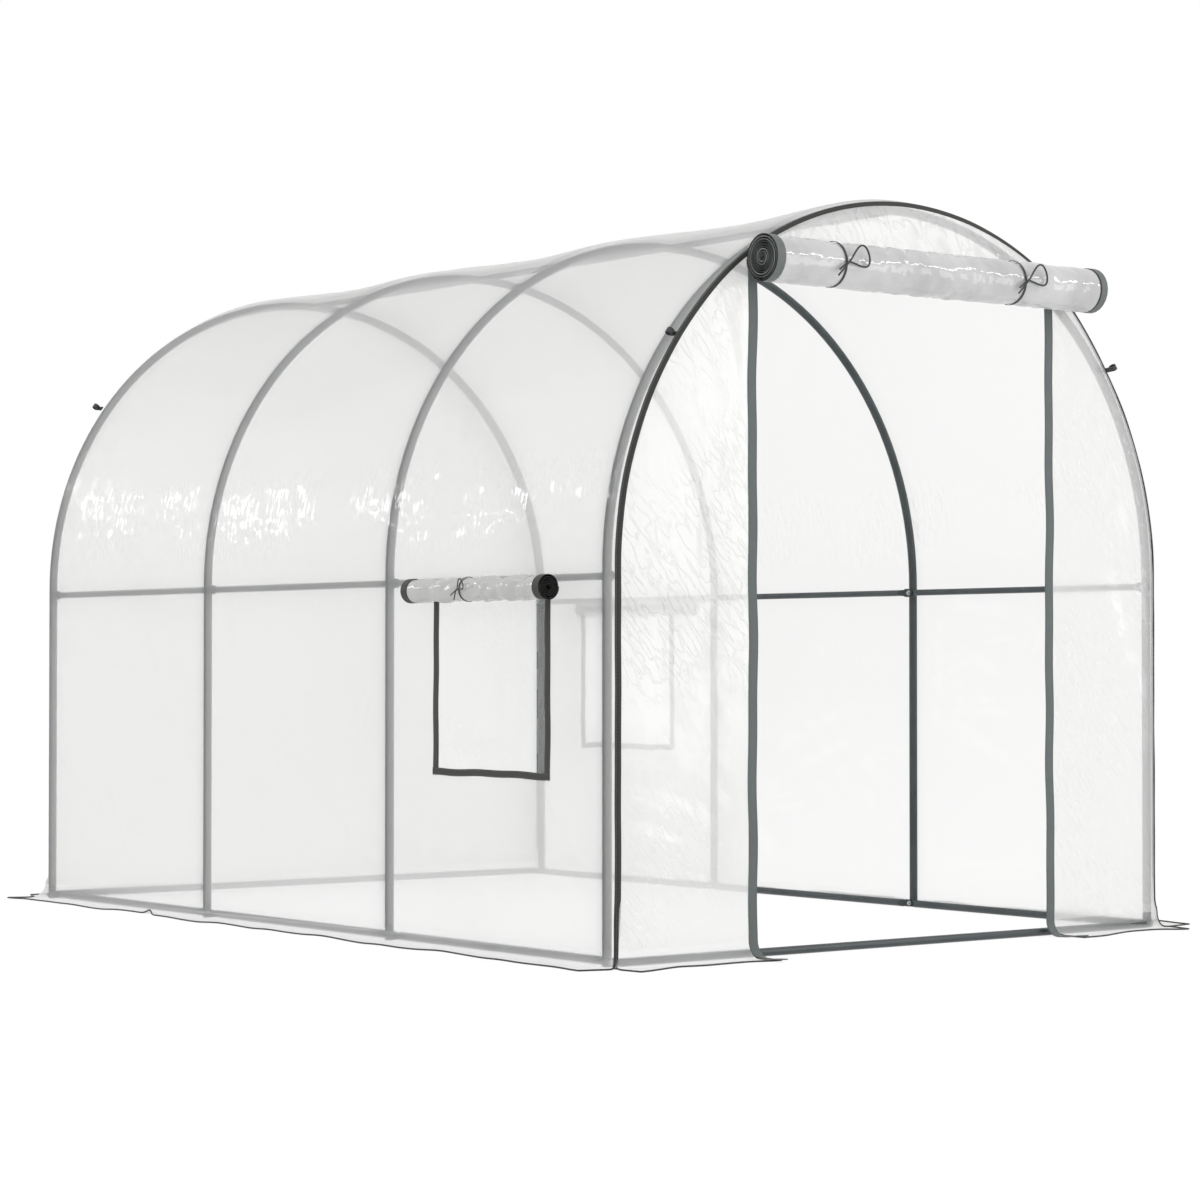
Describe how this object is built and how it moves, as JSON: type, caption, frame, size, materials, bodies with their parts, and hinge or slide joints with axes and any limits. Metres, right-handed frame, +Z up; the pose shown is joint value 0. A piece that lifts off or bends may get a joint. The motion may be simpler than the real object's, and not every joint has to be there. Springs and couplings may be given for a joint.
{
  "type": "polytunnel greenhouse",
  "caption": "Walk-in polytunnel greenhouse: steel hoops and rails under a clear film cover with ground skirts, a rolled-up door and rolled-up net windows.",
  "frame": {"origin": "on the ground, in the middle of the plan", "axes": "+Z up, +Y along the tunnel from the door end to the closed rear end, +X to the right seen from the door"},
  "size_m": [2.2396, 3.308, 2.0096],
  "materials": {
    "coated_steel": "satin grey-green powder coat",
    "clear_film": "clear glossy polyethylene film with fine wrinkles",
    "rolled_film": "the same clear film rolled up, whitish and glossy",
    "arch_tape": "dark olive grey woven binding tape",
    "door_tape": "dark grey woven binding tape",
    "insect_net": "fine pale insect net",
    "tie_webbing": "dark narrow webbing"
  },
  "bodies": {
    "root": {"hoop_1_left_leg": "coated_steel", "hoop_1_right_leg": "coated_steel", "hoop_1_arch": "coated_steel", "hoop_2_left_leg": "coated_steel", "hoop_2_right_leg": "coated_steel", "hoop_2_arch": "coated_steel", "hoop_3_left_leg": "coated_steel", "hoop_3_right_leg": "coated_steel", "hoop_3_arch": "coated_steel", "hoop_4_left_leg": "coated_steel", "hoop_4_right_leg": "coated_steel", "hoop_4_arch": "coated_steel", "ridge_rails": "coated_steel", "left_side_rails": "coated_steel", "right_side_rails": "coated_steel", "left_base_rails": "coated_steel", "right_base_rails": "coated_steel", "front_base_rail": "coated_steel", "rear_base_rail": "coated_steel", "roof_sheet": "clear_film", "left_side_sheet": "clear_film", "right_side_sheet": "clear_film", "front_sheet_left": "clear_film", "front_sheet_right": "clear_film", "front_sheet_top": "clear_film", "rear_sheet": "clear_film", "left_skirt": "clear_film", "right_skirt": "clear_film", "front_skirt_left": "clear_film", "front_skirt_right": "clear_film", "rear_skirt": "clear_film", "front_arch_binding": "arch_tape", "rear_arch_binding": "arch_tape", "door_binding_left": "door_tape", "door_binding_right": "door_tape", "left_window_binding": "arch_tape", "right_window_binding": "arch_tape", "left_window_net": "insect_net", "right_window_net": "insect_net", "door_roll": "rolled_film", "left_window_roll": "rolled_film", "right_window_roll": "rolled_film", "roll_end_tapes": "door_tape", "roll_ties": "tie_webbing", "guy_loops": "tie_webbing"}
  },
  "joints": []
}
